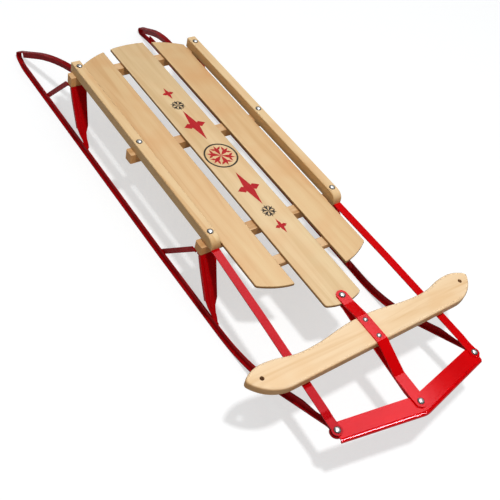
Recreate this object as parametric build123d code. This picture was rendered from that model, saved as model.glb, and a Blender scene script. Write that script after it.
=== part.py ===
from build123d import *
from math import atan2, cos, hypot, pi, radians, remainder, sin, tan
import os

# Runner sled with a wooden deck, spring steel runners and a steered front end.
# Millimetres. Z is up, the floor is at Z = 0 and the sled's front faces -Y.
# Left and right are the rider's, who faces -Y, so left is +X.

# Steel stock
flange_thick = 2.5          # runner flange, which rides on the snow
flange_wide = 12.0
rib_thick = 2.5             # upright rib of the runner's T section
rib_tall = 11.5
knee_thick = 2.5
brace_thick = 2.5
brace_wide = 10.0
arm_thick = 2.7
bumper_thick = 2.5
slide_gap = 0.25            # between flat steel faces that turn on each other
pin_gap = 0.3               # round a pin that a piece turns on
snug_gap = 0.1              # round a pin in the piece that holds it
press_gap = 0.15            # between a foot and the rib that it is riveted to

# Deck
deck_seat = 125.0           # height of the benches' top faces
slat_thick = 6.5
slat_edge = 1.2             # eased edges of slats, rails and benches
centre_slat_half = 40.0
side_slat_inner = 59.0
side_slat_gap = 10.0        # from a side slat to the rail beside it
slat_rear_y = 406.5         # middle of the rear arc
slat_rear_radius = 220.0
centre_slat_front_y = -380.5
centre_slat_front_radius = 95.0
centre_slat_corner = 9.0
side_slat_front_inner_y = -307.5
side_slat_front_outer_y = -282.5
side_slat_front_bow = 4.5
side_slat_corner = 8.0

# Benches, which carry the deck crosswise
bench_thick = 20.0
bench_half = 161.5
bench_corner = 3.0
bench_step = 5.0            # a stepped bench rises this far outside the side slats
benches = [
    # name, front y, rear y, stepped
    ("bench_rear", 340.0, 359.5, True),
    ("bench_middle", 88.0, 109.0, True),
    ("bench_front", -167.0, -145.5, False),
]
cleat_front_y = -256.0
cleat_rear_y = -234.5
cleat_half = 110.0
cleat_thick = 12.0

# Side rails
rail_inset = 20.5           # from the benches' ends to the line of the rails and their bolts
rail_wide = 20.0
rail_top = 149.0
rail_rear_y = 365.0
rail_front_y = -180.0
rail_nose = 18.0
rail_bolt_y = [347.5, 97.5, -155.5]

# Runners
runner_outset = 5.5         # from the benches' ends out to the middle of the rib along the deck
toe_in_y = -50.0            # from here forward the runner draws inward
runner_split_y = -268.0     # just ahead of the front knee's foot
runner_split_inset = 2.0    # how far in from that line the runner is there
runner_lift_y = -278.0      # last touch of the ground before the upward curve
runner_curve = 321.0
runner_climb = 28.5         # degrees
loop_tip_y = 607.1
loop_tip_inset = 6.1
loop_lean_y = 560.0         # from here back the runner leans in to the loop's tip
loop_bend = 8.7             # tight bend at the tip
loop_climb = 29.4           # degrees, where the arm leaves the tight bend
loop_arch = 407.0           # radius of the arm's long arch
loop_end_inset = 51.0       # the arm ends along the sled under the rear bench
arm_plan_bend = 90.0
rib_rear_end_y = 568.0      # the rib is cut away round the tight bend
arm_rib_start = 46.0        # from the tight bend's corner up the arm
arm_rib_end_y = 372.0
loop_screw_radius = 2.5
loop_screw_head = 5.0
loop_screw_head_tall = 2.0
loop_screw_long = 16.0      # into the bench
rib_fade_y = -489.0         # the rib tapers from here to nothing at the tab
tab_bend = 17.4
tab_radius = 11.5

# Front end
end_bolt_inset = 9.0        # how far in from the runners' line the bumper's end bolts are
end_bolt_y = -559.8
centre_bolt_y = -586.2
pivot_y = -366.8
bumper_height = 104.0       # underside of the bumper's flange
bumper_nose_y = -609.5
bumper_slope = 0.19
bumper_nose_radius = 40.0
bumper_end = 3.5            # past the end bolts
bumper_back_y = -573.0
bumper_back_slope = 0.175
bumper_lip = 6.8            # the front edge is rolled down this far
bumper_bend = 6.0
end_play = 1.5              # round the end bolts in the side straps
runner_end_play = 2.8       # round the end bolts in the runners' tabs
strap_wide = 16.0
strap_end_radius = 9.5
strap_bend_y = -184.0
strap_mid_y = -330.0
strap_mid_height = 121.0
strap_drop_y = -524.0       # from here the strap drops to its seat on the bumper
strap_drop_height = 110.0
strap_seat_y = -540.0
strap_bends = [150.0, 400.0, 40.0, 40.0]     # radius at each bend from the bench forward

# Steering bar and the two straps that grip it
bar_bottom = 118.0
bar_thick = 18.0
bar_half = 252.3
bar_edge = 4.0
bar_front_y = -474.5
bar_flat_x = 185.0          # the straight front edge ends here
bar_rear_line = [           # middle, waist and shoulder, with the points where the curve turns over
    (0.0, -416.7),
    (65.0, -422.3),
    (130.0, -428.0),
    (171.0, -422.2),
    (212.0, -416.5),
]
bar_tip = (bar_half, -432.0)
bar_tip_radius = 7.0
rope_hole_inset = 27.1      # from the bar's end
rope_hole_y = -440.4
rope_hole_radius = 4.0
arm_upper_wide = 22.0
arm_lower_wide = 20.0
arm_slat_bend_y = -386.0
arm_bar_rear_y = -419.0
arm_bar_front_y = -474.0
arm_low_y = -531.0
arm_low_height = 110.6
arm_seat_y = -574.0
arm_bend = 6.0
lower_arm_seat_y = -559.0
bar_rivet_y = [-428.8, -464.9]
bar_rivet_radius = 2.5
bar_rivet_head = 4.0
bar_rivet_tall = 2.0

# Bolts
bolt_radius = 3.0
bolt_rim_radius = 6.0       # flat rim of the head
bolt_rim_tall = 0.8
bolt_dome_radius = 4.2
bolt_dome_tall = 1.6
dome_taper = 0.6            # top of a domed head as a share of its base
nut_radius = 5.5
nut_tall = 4.0

# Knees and braces
knee_run = 75.5             # how far the knee slopes forward from bench to foot
knee_foot_height = 14.0
knee_lip = 7.0
knee_ridge = 2.6
knee_tab = 10.0
foot_long = 15.0
foot_low = 3.0
foot_tall = 10.5
knee_outline = [
    # height above the floor, inner edge, outer edge, both from the runner's line
    (105.0, -41.5, -5.5),
    (89.0, -35.0, -2.5),
    (64.5, -27.4, 1.0),
    (41.0, -20.4, 4.0),
    (31.0, -13.0, 2.5),
    (21.0, -10.8, -0.5),
]
knee_lip_rows = 4           # the turned edges end at this row of the outline
brace_run = 84.0
brace_tab = 9.0
brace_tab_long = 28.0
brace_lean = 2.0
brace_foot_height = 9.0

# Sizes worked out from the above
slat_top = deck_seat + slat_thick
rail_x = bench_half - rail_inset
side_slat_outer = rail_x - rail_wide / 2 - side_slat_gap
bench_step_x = side_slat_outer + bench_step
runner_x = bench_half + runner_outset
runner_split_x = runner_x - runner_split_inset
loop_tip_x = runner_x - loop_tip_inset
loop_end_x = runner_x - loop_end_inset
end_bolt_x = runner_x - end_bolt_inset
rope_hole_x = bar_half - rope_hole_inset
bumper_half = end_bolt_x + bumper_end
rail_bottom = deck_seat + flange_thick
strap_thick = flange_thick - 2 * slide_gap
strap_seat_mid = deck_seat + slide_gap + strap_thick / 2
bumper_top = bumper_height + bumper_thick
strap_end_mid = bumper_top + slide_gap + strap_thick / 2
tab_mid = bumper_height - slide_gap - flange_thick / 2
bench_bottom = deck_seat - bench_thick
loop_screw_y = (benches[0][1] + benches[0][2]) / 2
bar_top = bar_bottom + bar_thick
far = 700.0                 # longer than any piece, for cutting shapes


def turn_at(points, i):
    """Signed turn in radians at corner i of a line of points, positive to the left."""
    (ax, ay), (bx, by), (cx, cy) = points[i - 1], points[i], points[i + 1]
    return remainder(atan2(cy - by, cx - bx) - atan2(by - ay, bx - ax), 2 * pi)


def beside(points, off):
    """The same line of points moved sideways by off, to the left of its direction."""
    moved = []
    for i, (x, y) in enumerate(points):
        before = points[max(i - 1, 0)]
        after = points[min(i + 1, len(points) - 1)]
        way_in = atan2(y - before[1], x - before[0]) if i > 0 else None
        way_out = atan2(after[1] - y, after[0] - x) if i < len(points) - 1 else None
        if way_in is None:
            way_in = way_out
        if way_out is None:
            way_out = way_in
        half = turn_at(points, i) / 2 if 0 < i < len(points) - 1 else 0.0
        reach = off / cos(half)
        middle = way_in + half + radians(90)
        moved.append((x + reach * cos(middle), y + reach * sin(middle)))
    return moved


def strip(points, radii, wide):
    """Face of even width round a bent middle line, with one radius for each corner."""
    if len(points) == 2:
        left = beside(points, wide / 2)
        right = beside(points, -wide / 2)
        return make_face(Polyline(*left, *reversed(right), close=True).edges())
    turns = [turn_at(points, i) for i in range(1, len(points) - 1)]
    left_radii = [r - (wide / 2 if t > 0 else -wide / 2) for r, t in zip(radii, turns)]
    right_radii = [r + (wide / 2 if t > 0 else -wide / 2) for r, t in zip(radii, turns)]
    left = beside(points, wide / 2)
    right = beside(points, -wide / 2)
    left_edge = FilletPolyline(*left, radius=left_radii)
    right_edge = FilletPolyline(*right, radius=right_radii)
    start = Line(right[0], left[0])
    end = Line(left[-1], right[-1])
    return make_face(left_edge.edges() + right_edge.edges() + start.edges() + end.edges())


def sideways(face):
    """Solid of a side view (y, z), wide enough to be cut by a plan."""
    return extrude(Plane.YZ * face, far, both=True)


def plan(face, low=-far, high=far):
    """Solid of a plan (x, y) between two heights."""
    return extrude(Pos(0, 0, low) * face, high - low)


def rod(x, y, low, high, radius):
    return Pos(x, y, low) * Cylinder(radius, high - low, align=(Align.CENTER, Align.CENTER, Align.MIN))


def dome(x, y, seat, radius, tall):
    """Low domed head that stands on its seat, or hangs from it where tall is negative."""
    head = Cone(radius, radius * dome_taper, abs(tall), align=(Align.CENTER, Align.CENTER, Align.MIN))
    if tall < 0:
        head = mirror(head, about=Plane.XY)
    return Pos(x, y, seat) * head


def bolt(x, y, head_seat, nut_seat):
    """Bolt with a domed head on a flat rim above, and a nut below."""
    rim_top = head_seat + bolt_rim_tall
    head = rod(x, y, head_seat, rim_top, bolt_rim_radius) + dome(x, y, rim_top, bolt_dome_radius, bolt_dome_tall)
    nut = Pos(x, y, nut_seat - nut_tall) * extrude(RegularPolygon(nut_radius, 6), nut_tall)
    return head + rod(x, y, nut_seat - nut_tall, head_seat, bolt_radius) + nut


def runner_line_x(y):
    """Middle of the runner's rib at a place along the sled."""
    if y >= toe_in_y:
        return runner_x
    share = (toe_in_y - y) / (toe_in_y - runner_split_y)
    return runner_x + (runner_split_x - runner_x) * share


def save(name, shape, side=1):
    """Write one piece, mirrored to the right side where side is -1."""
    if side < 0:
        shape = mirror(shape, about=Plane.YZ)
    shape.label = name
    export_step(shape, "parts/" + name + ".step")


os.makedirs("parts", exist_ok=True)
sides = [("left", 1), ("right", -1)]


# Deck slats

def broad_edges(solid):
    """Edges round a plank's top and bottom faces."""
    faces = [solid.faces().sort_by(Axis.Z)[-1], solid.faces().sort_by(Axis.Z)[0]]
    return [edge for face in faces for edge in face.outer_wire().edges()]


def slat(outline_face):
    """Plank of a plan outline, cut at the rear by the shallow arc that all slats share."""
    arc_middle_y = slat_rear_y - slat_rear_radius
    keep = rod(0, arc_middle_y, deck_seat, slat_top, slat_rear_radius)
    keep += plan(Pos(0, arc_middle_y - far / 2) * Rectangle(far, far), deck_seat, slat_top)
    return plan(outline_face, deck_seat, slat_top) & keep


def make_centre_slat():
    nose = centre_slat_front_y
    corner_y = nose + centre_slat_half ** 2 / (2 * centre_slat_front_radius)
    outline = [
        Line((-centre_slat_half, slat_rear_y), (-centre_slat_half, corner_y)),
        ThreePointArc((-centre_slat_half, corner_y), (0, nose), (centre_slat_half, corner_y)),
        Line((centre_slat_half, corner_y), (centre_slat_half, slat_rear_y)),
        Line((centre_slat_half, slat_rear_y), (-centre_slat_half, slat_rear_y)),
    ]
    plank = slat(make_face(outline))
    corners = plank.edges().filter_by(Axis.Z).group_by(Axis.Y)[0]
    plank = fillet(corners, centre_slat_corner)
    plank = chamfer(broad_edges(plank), slat_edge)
    return plank - rod(0, pivot_y, deck_seat, slat_top, bolt_radius + snug_gap)


def make_side_slat():
    inner = (side_slat_inner, side_slat_front_inner_y)
    outer = (side_slat_outer, side_slat_front_outer_y)
    middle = ((inner[0] + outer[0]) / 2, (inner[1] + outer[1]) / 2 - side_slat_front_bow)
    outline = [
        ThreePointArc(inner, middle, outer),
        Line(outer, (side_slat_outer, slat_rear_y)),
        Line((side_slat_outer, slat_rear_y), (side_slat_inner, slat_rear_y)),
        Line((side_slat_inner, slat_rear_y), inner),
    ]
    plank = slat(make_face(outline))
    uprights = plank.edges().filter_by(Axis.Z)
    plank = fillet(uprights.group_by(Axis.X)[-1].sort_by(Axis.Y)[0], side_slat_corner)
    return chamfer(broad_edges(plank), slat_edge)


save("deck_slat_centre", make_centre_slat())
side_slat = make_side_slat()
for side_name, side in sides:
    save("deck_slat_" + side_name, side_slat, side)


# Side rails

def make_rail():
    face = make_face(Polyline(
        (rail_front_y, rail_bottom), (rail_rear_y, rail_bottom),
        (rail_rear_y, rail_top), (rail_front_y, rail_top), close=True).edges())
    nose = face.vertices().sort_by(Axis.X)[:2].sort_by(Axis.Y)[-1]
    face = fillet(nose, rail_nose)
    rail = Pos(rail_x, 0, 0) * extrude(Plane.YZ * face, rail_wide / 2, both=True)
    long_edges = rail.faces().sort_by(Axis.Z)[-1].edges().filter_by(Axis.Y)
    rail = chamfer(long_edges, slat_edge)
    for y in rail_bolt_y:
        rail -= rod(rail_x, y, rail_bottom, rail_top, bolt_radius + snug_gap)
    return rail


rail = make_rail()
for side_name, side in sides:
    save("side_rail_" + side_name, rail, side)


# Benches and the cleat that ties the side slats to the centre slat

def make_bench(front_y, rear_y, stepped):
    bench = Pos(0, front_y, bench_bottom) * Box(
        2 * bench_half, rear_y - front_y, bench_thick, align=(Align.CENTER, Align.MIN, Align.MIN))
    bench = fillet(bench.edges().filter_by(Axis.Z), bench_corner)
    bench = chamfer(bench.faces().sort_by(Axis.Z)[0].outer_wire().edges(), slat_edge)
    if stepped:
        for side in (1, -1):
            pad_half = (bench_half - bench_step_x) / 2
            pad = Pos(side * (bench_half - pad_half), front_y, deck_seat) * Box(
                2 * pad_half, rear_y - front_y, flange_thick, align=(Align.CENTER, Align.MIN, Align.MIN))
            outer = pad.edges().filter_by(Axis.Z).sort_by(lambda edge: -abs(edge.center().X))[:2]
            bench += fillet(outer, bench_corner)
    for y in rail_bolt_y:
        if front_y < y < rear_y:
            for side in (1, -1):
                bench -= rod(side * rail_x, y, bench_bottom, rail_bottom, bolt_radius + snug_gap)
    if front_y < loop_screw_y < rear_y:
        for side in (1, -1):
            bench -= rod(side * loop_end_x, loop_screw_y, bench_bottom,
                         bench_bottom + loop_screw_long + snug_gap, loop_screw_radius + snug_gap)
    return bench


for name, front_y, rear_y, stepped in benches:
    save(name, make_bench(front_y, rear_y, stepped))

cleat = Pos(0, cleat_front_y, deck_seat - cleat_thick) * Box(
    2 * cleat_half, cleat_rear_y - cleat_front_y, cleat_thick, align=(Align.CENTER, Align.MIN, Align.MIN))
save("front_cleat", chamfer(broad_edges(cleat), slat_edge))


# Runners. The rear part runs from the front knee to the rear loop and back under the rear bench.

arm_mid = bench_bottom - flange_thick / 2
arm_end_y = benches[0][1]
loop_corner_y = loop_tip_y - flange_thick / 2 - loop_bend + loop_bend * tan(radians(180 - loop_climb) / 2)
arch_corner_y = loop_corner_y - (arm_mid - flange_thick / 2) / tan(radians(loop_climb))
loop_middle = loop_bend + flange_thick / 2


def make_runner():
    corner = (loop_corner_y, flange_thick / 2)
    arch = (arch_corner_y, arm_mid)
    side_points = [(runner_split_y, flange_thick / 2), corner, arch, (arm_end_y, arm_mid)]
    side_view = sideways(strip(side_points, [loop_bend, loop_arch], flange_thick))
    ground_line = [(runner_split_x, runner_split_y), (runner_x, toe_in_y), (runner_x, loop_lean_y),
                   (loop_tip_x, loop_tip_y)]
    ground_radii = [far, far / 2]
    arm_line = [(loop_tip_x, loop_tip_y), (loop_end_x, benches[0][2]), (loop_end_x, arm_end_y)]
    arm_radii = [arm_plan_bend]
    runner = side_view & plan(strip(ground_line, ground_radii, flange_wide), -1, loop_middle)
    runner += side_view & plan(strip(arm_line, arm_radii, flange_wide), loop_middle, far)
    ground_rib = Pos((runner_split_y + rib_rear_end_y) / 2, flange_thick + rib_tall / 2) * Rectangle(
        rib_rear_end_y - runner_split_y, rib_tall)
    runner += sideways(ground_rib) & plan(strip(ground_line, ground_radii, rib_thick))
    climb = radians(loop_climb)
    rib_start = (corner[0] - arm_rib_start * cos(climb), corner[1] + arm_rib_start * sin(climb))
    rib_off = (flange_thick + rib_tall) / 2
    rib_side = strip(beside([corner, arch, (arm_end_y, arm_mid)], rib_off), [loop_arch - rib_off], rib_tall)
    rib_side &= Pos(*rib_start) * Rot(0, 0, 180 - loop_climb) * Rectangle(far, far, align=(Align.MIN, Align.CENTER))
    rib_side &= Pos(arm_rib_end_y, 0) * Rectangle(far, far, align=(Align.MIN, Align.CENTER))
    runner += sideways(rib_side) & plan(strip(arm_line, arm_radii, rib_thick))
    runner -= rod(runner_split_x, runner_split_y, -1, far, flange_wide / 2 + pin_gap)
    return runner - rod(loop_end_x, loop_screw_y, 0, far, loop_screw_radius + snug_gap)


def make_runner_front():
    climb = radians(runner_climb)
    corner_y = runner_lift_y - runner_curve * tan(climb / 2)
    tab_y = corner_y - (tab_mid - flange_thick / 2) / tan(climb)
    side_points = [
        (runner_split_y + flange_wide, flange_thick / 2),
        (corner_y, flange_thick / 2),
        (tab_y, tab_mid),
        (end_bolt_y - tab_radius - 1, tab_mid),
    ]
    side_view = sideways(strip(side_points, [runner_curve, tab_bend], flange_thick))
    line = [(runner_split_x, runner_split_y), (end_bolt_x, end_bolt_y)]
    flange = plan(strip(line, [], flange_wide)) + rod(*line[0], -far, far, flange_wide / 2)
    tab = rod(end_bolt_x, end_bolt_y, -far, far, tab_radius)
    front = side_view & (flange + tab)
    rib_off = (flange_thick + rib_tall) / 2
    rib_middle = beside(side_points[:3], -rib_off)
    rib_side = strip(rib_middle, [runner_curve - rib_off], rib_tall)
    crown = beside(side_points[:3], -(rib_tall + flange_thick / 2))
    base = beside(side_points[:3], -flange_thick / 2)
    fade_share = (rib_fade_y - crown[2][0]) / (crown[1][0] - crown[2][0])
    fade_z = crown[2][1] + (crown[1][1] - crown[2][1]) * fade_share
    rib_side -= make_face(Polyline(
        (rib_fade_y, fade_z), base[2], (base[2][0], far), (rib_fade_y, far), close=True).edges())
    rib_line = plan(strip(line, [], rib_thick))
    heel_plan = plan(strip([(runner_split_x, runner_split_y + flange_wide), line[0]], [], rib_thick))
    heel_plan &= rod(*line[0], -far, far, flange_wide / 2)
    front += sideways(rib_side) & (rib_line + heel_plan)
    return front - rod(end_bolt_x, end_bolt_y, 0, far, bolt_radius + runner_end_play)


runner = make_runner()
runner_front = make_runner_front()
for side_name, side in sides:
    save("runner_" + side_name, runner, side)
    save("runner_front_" + side_name, runner_front, side)


# Knees, pressed from sheet, slope forward from the benches to the runners

over_bench = Pos(0, 0, bench_bottom) * Box(far, 2 * far, far, align=(Align.CENTER, Align.CENTER, Align.MIN))


def rail_bolt_beside(bench_edge_y):
    """Place of the rail bolt that goes through the bench with this edge."""
    return min(rail_bolt_y, key=lambda y: abs(y - bench_edge_y))


def make_knee(bench_front_y):
    drop = bench_bottom - knee_foot_height
    slope = hypot(knee_run, drop)
    down = (0, -knee_run / slope, -drop / slope)
    face_plane = Plane(origin=(0, bench_front_y, bench_bottom), x_dir=(1, 0, 0),
                       z_dir=(0, drop / slope, -knee_run / slope))
    foot_y = bench_front_y - knee_run
    rib_face = runner_line_x(foot_y - foot_long / 2) - rib_thick / 2 - press_gap
    rows = [((bench_bottom - z) * slope / drop, runner_x + inner, runner_x + outer)
            for z, inner, outer in knee_outline]
    last = (bench_bottom - foot_low - knee_thick) * slope / drop
    heel_x = rows[-1][1]
    rows.append(((bench_bottom - foot_low - foot_tall) * slope / drop, heel_x, rib_face))
    rows.append((last, heel_x + 1, rib_face))

    def panel(rows, inset, near, deep):
        inner = [(x_in + inset, s) for s, x_in, x_out in rows]
        outer = [(x_out - inset, s) for s, x_in, x_out in rows]
        face = make_face(Polyline(*inner, *reversed(outer), close=True).edges())
        return extrude(face_plane * Pos(0, 0, near) * face, deep)

    sheet = panel(rows, 0, 0, knee_thick)
    lipped = rows[:knee_lip_rows]
    lips = panel(lipped, 0, 0, knee_lip) - panel(
        [(lipped[0][0] - 1, *lipped[0][1:]), *lipped[1:-1], (lipped[-1][0] + 1, *lipped[-1][1:])],
        knee_thick, 0, knee_lip + 1)
    knee = sheet + lips
    ridge_from = ((rows[0][1] + 5 * rows[0][2]) / 6, rows[0][0] + knee_lip)
    ridge_to = ((rows[3][1] + 2 * rows[3][2]) / 3, rows[4][0])
    ridge = Plane(origin=(*ridge_from, 0), z_dir=(ridge_to[0] - ridge_from[0], ridge_to[1] - ridge_from[1], 0))
    bead = extrude(ridge * Circle(knee_ridge), hypot(ridge_to[0] - ridge_from[0], ridge_to[1] - ridge_from[1]))
    bead += Pos(*ridge_from) * Sphere(knee_ridge) + Pos(*ridge_to) * Sphere(knee_ridge)
    bead -= Pos(0, 0, knee_thick) * Box(far, far, 2 * knee_ridge, align=(Align.CENTER, Align.CENTER, Align.MIN))
    knee += face_plane * bead
    knee += Pos(rows[0][1], bench_front_y, bench_bottom - knee_thick) * Box(
        rows[0][2] - rows[0][1], knee_tab, knee_thick, align=(Align.MIN, Align.MIN, Align.MIN))
    foot = Pos(rib_face - knee_thick, foot_y - foot_long, foot_low) * Box(
        knee_thick, foot_long + knee_thick, foot_tall, align=(Align.MIN, Align.MIN, Align.MIN))
    foot = fillet(foot.edges().filter_by(Axis.X).sort_by(Axis.Y)[:2], foot_tall / 3)
    knee += foot
    knee -= rod(rail_x, rail_bolt_beside(bench_front_y), 0, far, bolt_radius + snug_gap)
    return knee - over_bench


def make_brace(bench_rear_y):
    foot_y = bench_rear_y + brace_run
    rib_face = runner_line_x(foot_y) - rib_thick / 2 - press_gap
    tilt = atan2(brace_lean, bench_bottom - brace_foot_height)
    lean_plane = Plane(origin=(rib_face - brace_thick, foot_y, brace_foot_height), x_dir=(0, 1, 0),
                       z_dir=(cos(tilt), 0, sin(tilt)))
    rise = bench_bottom - brace_foot_height
    top = (-brace_run - brace_wide / 4, rise / cos(tilt))
    face = strip([top, (0, 0)], [], brace_wide) + Circle(brace_wide / 2)
    strap = extrude(lean_plane * face, brace_thick)
    strap -= over_bench
    outer = rib_face - brace_lean
    strap += Pos(outer - brace_tab_long, bench_rear_y - brace_tab, bench_bottom - brace_thick) * Box(
        brace_tab_long, brace_tab, brace_thick, align=(Align.MIN, Align.MIN, Align.MIN))
    return strap - rod(rail_x, rail_bolt_beside(bench_rear_y), 0, far, bolt_radius + snug_gap)


for place, bench in (("rear", benches[0]), ("front", benches[2])):
    knee = make_knee(bench[1])
    brace = make_brace(bench[2])
    for side_name, side in sides:
        save("knee_" + place + "_" + side_name, knee, side)
        save("brace_" + place + "_" + side_name, brace, side)


# Side straps from the front bench to the bumper's ends

def make_side_strap():
    side_points = [
        (rail_bolt_y[2] + strap_end_radius, strap_seat_mid),
        (strap_bend_y, strap_seat_mid),
        (strap_mid_y, strap_mid_height),
        (strap_drop_y, strap_drop_height),
        (strap_seat_y, strap_end_mid),
        (end_bolt_y - strap_end_radius - 1, strap_end_mid),
    ]
    side_view = sideways(strip(side_points, strap_bends, strap_thick))
    line = [(rail_x, rail_bolt_y[2]), (end_bolt_x, end_bolt_y)]
    band = plan(strip(line, [], strap_wide))
    band += rod(*line[0], -far, far, strap_wide / 2)
    band += rod(*line[1], -far, far, strap_end_radius)
    strap = side_view & band
    strap -= rod(*line[0], 0, far, bolt_radius + pin_gap)
    return strap - rod(*line[1], 0, far, bolt_radius + end_play)


side_strap = make_side_strap()
for side_name, side in sides:
    save("side_strap_" + side_name, side_strap, side)


# Steering bar, a shaped plank with a waist each side and a rope hole near each end

def make_steering_bar():
    half = []
    way = (1, 0)
    rear = bar_rear_line
    for start, end in zip(rear, rear[1:]):
        arc = TangentArc(start, end, tangent=way)
        half.append(arc)
        way = arc % 1
    half.append(TangentArc(rear[-1], bar_tip, tangent=way))
    half.append(TangentArc((bar_flat_x, bar_front_y), bar_tip, tangent=(1, 0)))
    half.append(Line((bar_flat_x, bar_front_y), (0, bar_front_y)))
    edges = [edge for line in half for edge in line.edges()]
    edges += [mirror(edge, about=Plane.YZ) for edge in edges]
    face = make_face(edges)
    tips = [corner for corner in face.vertices() if abs(abs(corner.X) - bar_half) < snug_gap]
    bar = plan(fillet(tips, bar_tip_radius), bar_bottom, bar_top)
    bar = fillet(broad_edges(bar), bar_edge)
    for side in (1, -1):
        bar -= rod(side * rope_hole_x, rope_hole_y, bar_bottom, bar_top, rope_hole_radius)
    for y in bar_rivet_y:
        bar -= rod(0, y, bar_bottom, bar_top, bar_rivet_radius + snug_gap)
    return bar


save("steering_bar", make_steering_bar())


# Steering straps. They grip the slat's front, the bar and the bumper between them.

def round_strap(side_points, side_radii, wide):
    """Strap along the sled's middle with round ends at the pivot and the bumper bolt."""
    side_view = sideways(strip(side_points, side_radii, arm_thick))
    half = wide / 2
    band = plan(Pos(0, (pivot_y + centre_bolt_y) / 2) * Rectangle(wide, pivot_y - centre_bolt_y))
    band += rod(0, pivot_y, -far, far, half) + rod(0, centre_bolt_y, -far, far, half)
    strap = side_view & band
    for y in (pivot_y, centre_bolt_y):
        strap -= rod(0, y, 0, far, bolt_radius + pin_gap)
    for y in bar_rivet_y:
        strap -= rod(0, y, 0, far, bar_rivet_radius + snug_gap)
    return strap


upper_slat_mid = slat_top + slide_gap + arm_thick / 2
upper_bar_mid = bar_top + arm_thick / 2
upper_end_mid = bumper_top + slide_gap + arm_thick / 2
upper_reach = arm_upper_wide / 2 + 1
save("steering_arm_upper", round_strap([
    (pivot_y + upper_reach, upper_slat_mid),
    (arm_slat_bend_y, upper_slat_mid),
    (arm_bar_rear_y, upper_bar_mid),
    (arm_bar_front_y, upper_bar_mid),
    (arm_low_y, arm_low_height),
    (arm_seat_y, upper_end_mid),
    (centre_bolt_y - upper_reach, upper_end_mid),
], [arm_bend, arm_bend, arm_bend, arm_bend, arm_bend], arm_upper_wide))

lower_slat_mid = deck_seat - slide_gap - arm_thick / 2
lower_bar_mid = bar_bottom - arm_thick / 2
lower_end_mid = bumper_height - slide_gap - arm_thick / 2
lower_reach = arm_lower_wide / 2 + 1
save("steering_arm_lower", round_strap([
    (pivot_y + lower_reach, lower_slat_mid),
    (arm_slat_bend_y, lower_slat_mid),
    (arm_bar_rear_y, lower_bar_mid),
    (arm_bar_front_y, lower_bar_mid),
    (lower_arm_seat_y, lower_end_mid),
    (centre_bolt_y - lower_reach, lower_end_mid),
], [arm_bend, arm_bend, arm_bend, arm_bend], arm_lower_wide))

rivets = []
rivet_top = bar_top + arm_thick
rivet_bottom = bar_bottom - arm_thick
for y in bar_rivet_y:
    rivets.append(rod(0, y, rivet_bottom, rivet_top, bar_rivet_radius)
                  + dome(0, y, rivet_top, bar_rivet_head, bar_rivet_tall)
                  + dome(0, y, rivet_bottom, bar_rivet_head, -bar_rivet_tall))
save("bar_rivets", Compound(children=rivets))


# Bumper, a shallow V of flat bar whose front edge is turned down

def front_edges(solid):
    """Edges along the front of a solid's top face."""
    top = solid.faces().sort_by(Axis.Z)[-1]
    return [edge for edge in top.outer_wire().edges() if edge.center().Y < bumper_back_y]


def make_bumper():
    def front_line(inset):
        nose = (0, bumper_nose_y + inset)
        ends = [(side * bumper_half, nose[1] + bumper_slope * bumper_half) for side in (-1, 1)]
        return [ends[0], nose, ends[1]]

    def v_face(front, front_radius, back):
        outline = FilletPolyline(*front, radius=front_radius).edges()
        outline += Polyline(front[2], back[2], back[1], back[0], front[0]).edges()
        return make_face(outline)

    back = [(side * bumper_half, bumper_back_y + bumper_back_slope * bumper_half) for side in (-1, 1)]
    back.insert(1, (0, bumper_back_y))
    outer = front_line(0)
    sheet = plan(v_face(outer, bumper_nose_radius, back), bumper_top - bumper_lip, bumper_top)
    inner = front_line(bumper_thick * hypot(1, bumper_slope))
    wide_inner = [(inner[0][0] * 2, inner[1][1] + 2 * (inner[0][1] - inner[1][1])), inner[1],
                  (inner[2][0] * 2, inner[1][1] + 2 * (inner[2][1] - inner[1][1]))]
    wide_back = [(2 * bumper_half * side, bumper_back_y + far / 2) for side in (-1, 0, 1)]
    hollow = plan(v_face(wide_inner, bumper_nose_radius - bumper_thick, wide_back),
                  bumper_height - far, bumper_height)
    bumper = fillet(front_edges(sheet), bumper_bend) - fillet(front_edges(hollow), bumper_bend - bumper_thick)
    for x, y in ((0, centre_bolt_y), (end_bolt_x, end_bolt_y), (-end_bolt_x, end_bolt_y)):
        bumper -= rod(x, y, 0, far, bolt_radius + snug_gap)
    return bumper


save("bumper", make_bumper())


# Bolts

rail_bolts = []
for y in rail_bolt_y:
    under = 0.0 if y == rail_bolt_y[1] else knee_thick
    for side in (1, -1):
        rail_bolts.append(bolt(side * rail_x, y, rail_top, bench_bottom - under))
save("rail_bolts", Compound(children=rail_bolts))

upper_arm_top = slat_top + slide_gap + arm_thick
lower_arm_bottom = deck_seat - slide_gap - arm_thick
save("pivot_bolt", bolt(0, pivot_y, upper_arm_top + slide_gap, lower_arm_bottom - slide_gap))

bumper_bolts = [
    bolt(0, centre_bolt_y, bumper_top + arm_thick + 2 * slide_gap, bumper_height - arm_thick - 2 * slide_gap),
]
for side in (1, -1):
    bumper_bolts.append(bolt(
        side * end_bolt_x, end_bolt_y,
        bumper_top + strap_thick + 2 * slide_gap, bumper_height - flange_thick - 2 * slide_gap))
save("bumper_bolts", Compound(children=bumper_bolts))

loop_screws = []
arm_bottom = bench_bottom - flange_thick - slide_gap
for side in (1, -1):
    x = side * loop_end_x
    loop_screws.append(rod(x, loop_screw_y, arm_bottom, bench_bottom + loop_screw_long, loop_screw_radius)
                       + dome(x, loop_screw_y, arm_bottom, loop_screw_head, -loop_screw_head_tall))
save("loop_screws", Compound(children=loop_screws))
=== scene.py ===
import bmesh
import bpy
import math
from mathutils import Matrix, Vector


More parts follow.
